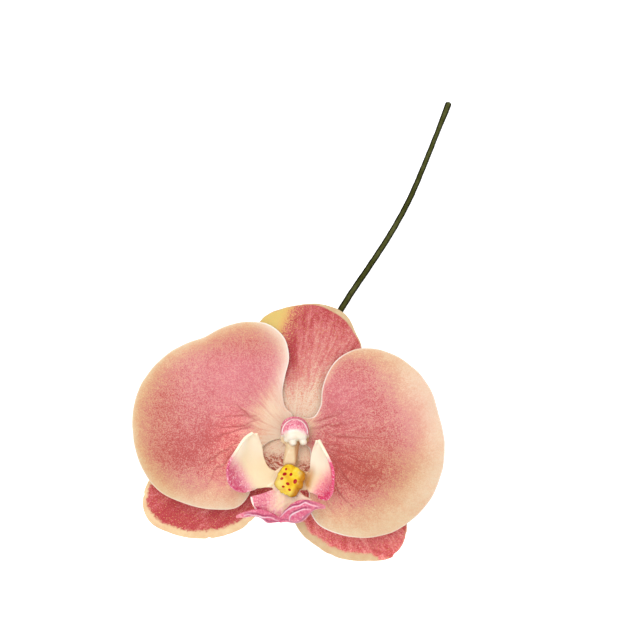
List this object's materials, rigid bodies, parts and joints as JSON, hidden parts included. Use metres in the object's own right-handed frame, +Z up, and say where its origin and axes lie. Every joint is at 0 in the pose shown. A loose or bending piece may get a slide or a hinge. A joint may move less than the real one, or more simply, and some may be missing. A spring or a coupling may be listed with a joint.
{
  "type": "moth orchid bloom on a wire stem",
  "caption": "Hand-made moth orchid bloom with broad rose petals, spotted yellow callus and curled lip, on a short tape-wrapped wire stem, lying face up.",
  "frame": {"origin": "middle of the object's box, on the surface that it lies on", "axes": "+Z up, out of the bloom's face; +Y the way the stem and the dorsal sepal point; +X to the right as seen from above"},
  "size_m": [0.0932, 0.1352, 0.0276],
  "materials": {
    "wire": "drawn steel wire",
    "tape": "waxed crepe paper tape, dark olive, wound in a spiral",
    "receptacle": "matte paste, yellow green",
    "sepal": "matte paste dusted deep rose, cream at the border",
    "petal": "matte paste dusted rose, peach at the edge, fine veins",
    "column": "glazed paste, pink hood, cream foot",
    "anther_cap": "glazed paste, cream white",
    "lip": "glazed paste, cream to magenta",
    "callus": "glazed paste, yellow with dark red spots"
  },
  "bodies": {
    "root": {"stem_wire": "wire", "stem_tape": "tape", "receptacle": "receptacle", "sepal_dorsal": "sepal", "sepal_left": "sepal", "sepal_right": "sepal", "petal_left": "petal", "petal_right": "petal", "column": "column", "anther_cap": "anther_cap", "lip": "lip", "callus": "callus"}
  },
  "joints": []
}
